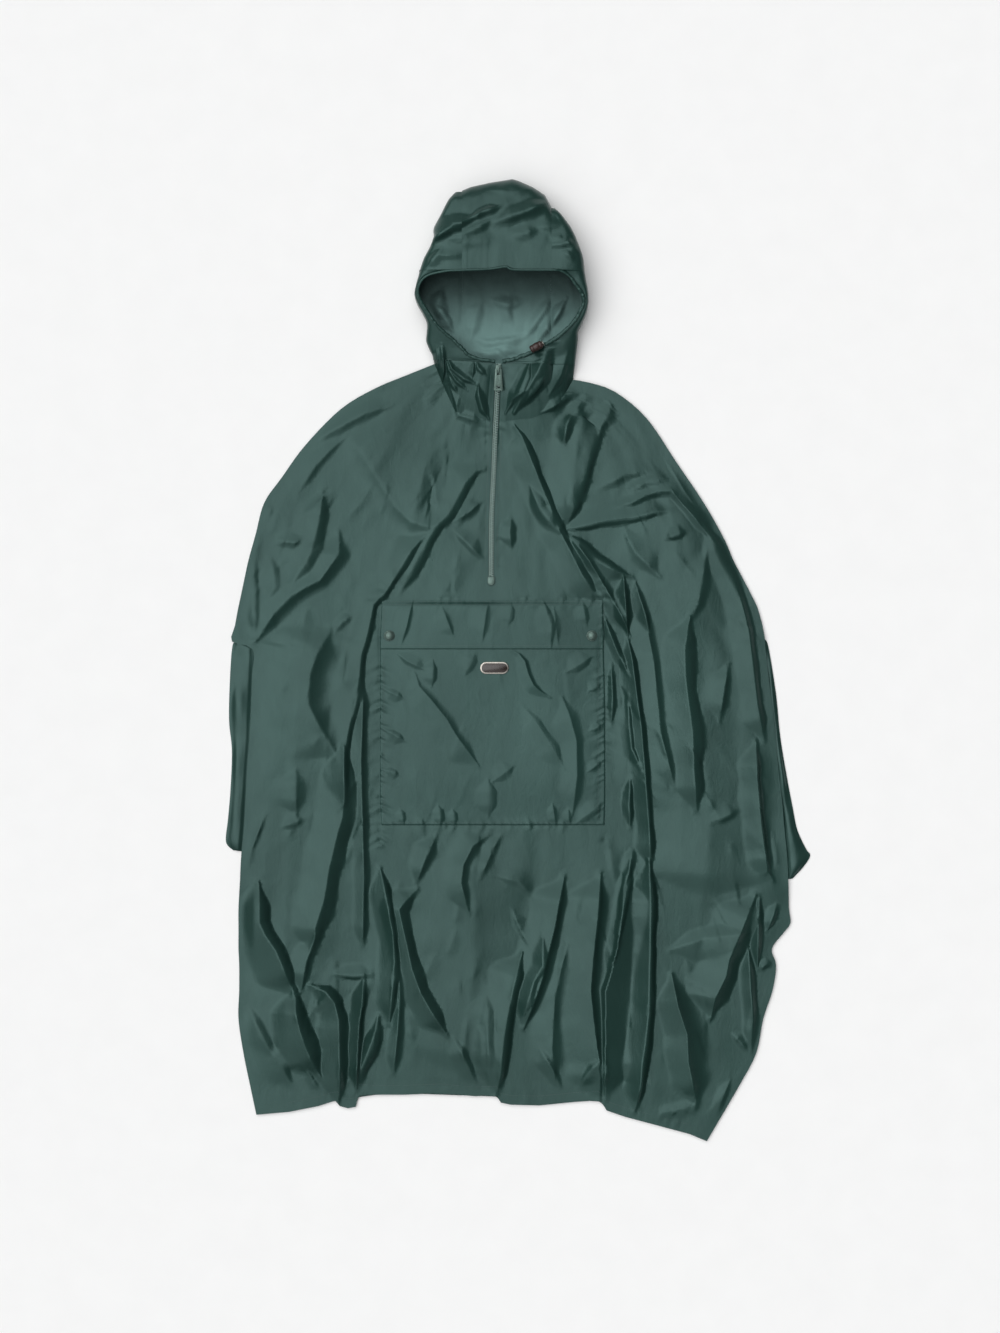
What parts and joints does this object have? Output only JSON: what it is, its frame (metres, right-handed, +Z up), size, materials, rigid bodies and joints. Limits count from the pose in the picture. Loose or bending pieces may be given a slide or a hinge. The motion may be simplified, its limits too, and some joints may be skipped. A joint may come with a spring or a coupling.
{
  "type": "rain poncho",
  "caption": "Hooded rain poncho in dark green nylon, laid flat on its back, with a short front zip and a flapped chest pocket.",
  "frame": {"origin": "middle of the poncho's outline, on the surface that it lies on", "axes": "+X to the right as seen from above, +Y from the hem towards the hood, +Z up from the surface, out of the front panel"},
  "size_m": [0.8176, 1.342, 0.0619],
  "materials": {
    "shell": "thin coated nylon, soft sheen",
    "pocket": "thin coated nylon, soft sheen",
    "tape": "matt woven tape",
    "chain": "moulded teeth",
    "metal": "enamelled",
    "steel": "satin",
    "enamel": "gloss",
    "lock": "moulded"
  },
  "bodies": {
    "garment": {"back_panel": "shell", "side_left": "shell", "side_right": "shell", "front_panel": "shell", "pocket_bag": "pocket", "pocket_flap": "pocket", "stud_left": "metal", "stud_right": "metal", "plate_frame": "steel", "plate_face": "enamel", "collar_left": "shell", "collar_right": "shell", "zip_tape": "tape", "zip_chain": "chain", "zip_slider": "metal", "zip_bridge": "metal", "zip_stop": "metal", "hood_left": "shell", "hood_right": "shell", "hood_centre": "shell", "hood_casing": "shell", "cord_lock": "lock", "cord_eyelet": "steel"},
    "pull": {"zip_pull": "metal"}
  },
  "joints": [
    {"name": "pull_lift", "type": "hinge", "parent": "garment", "child": "pull", "pos_m": [-0.02737, 0.40654, 0.02503], "axis": [-1, 0, 0], "range_deg": [0, 150]}
  ]
}
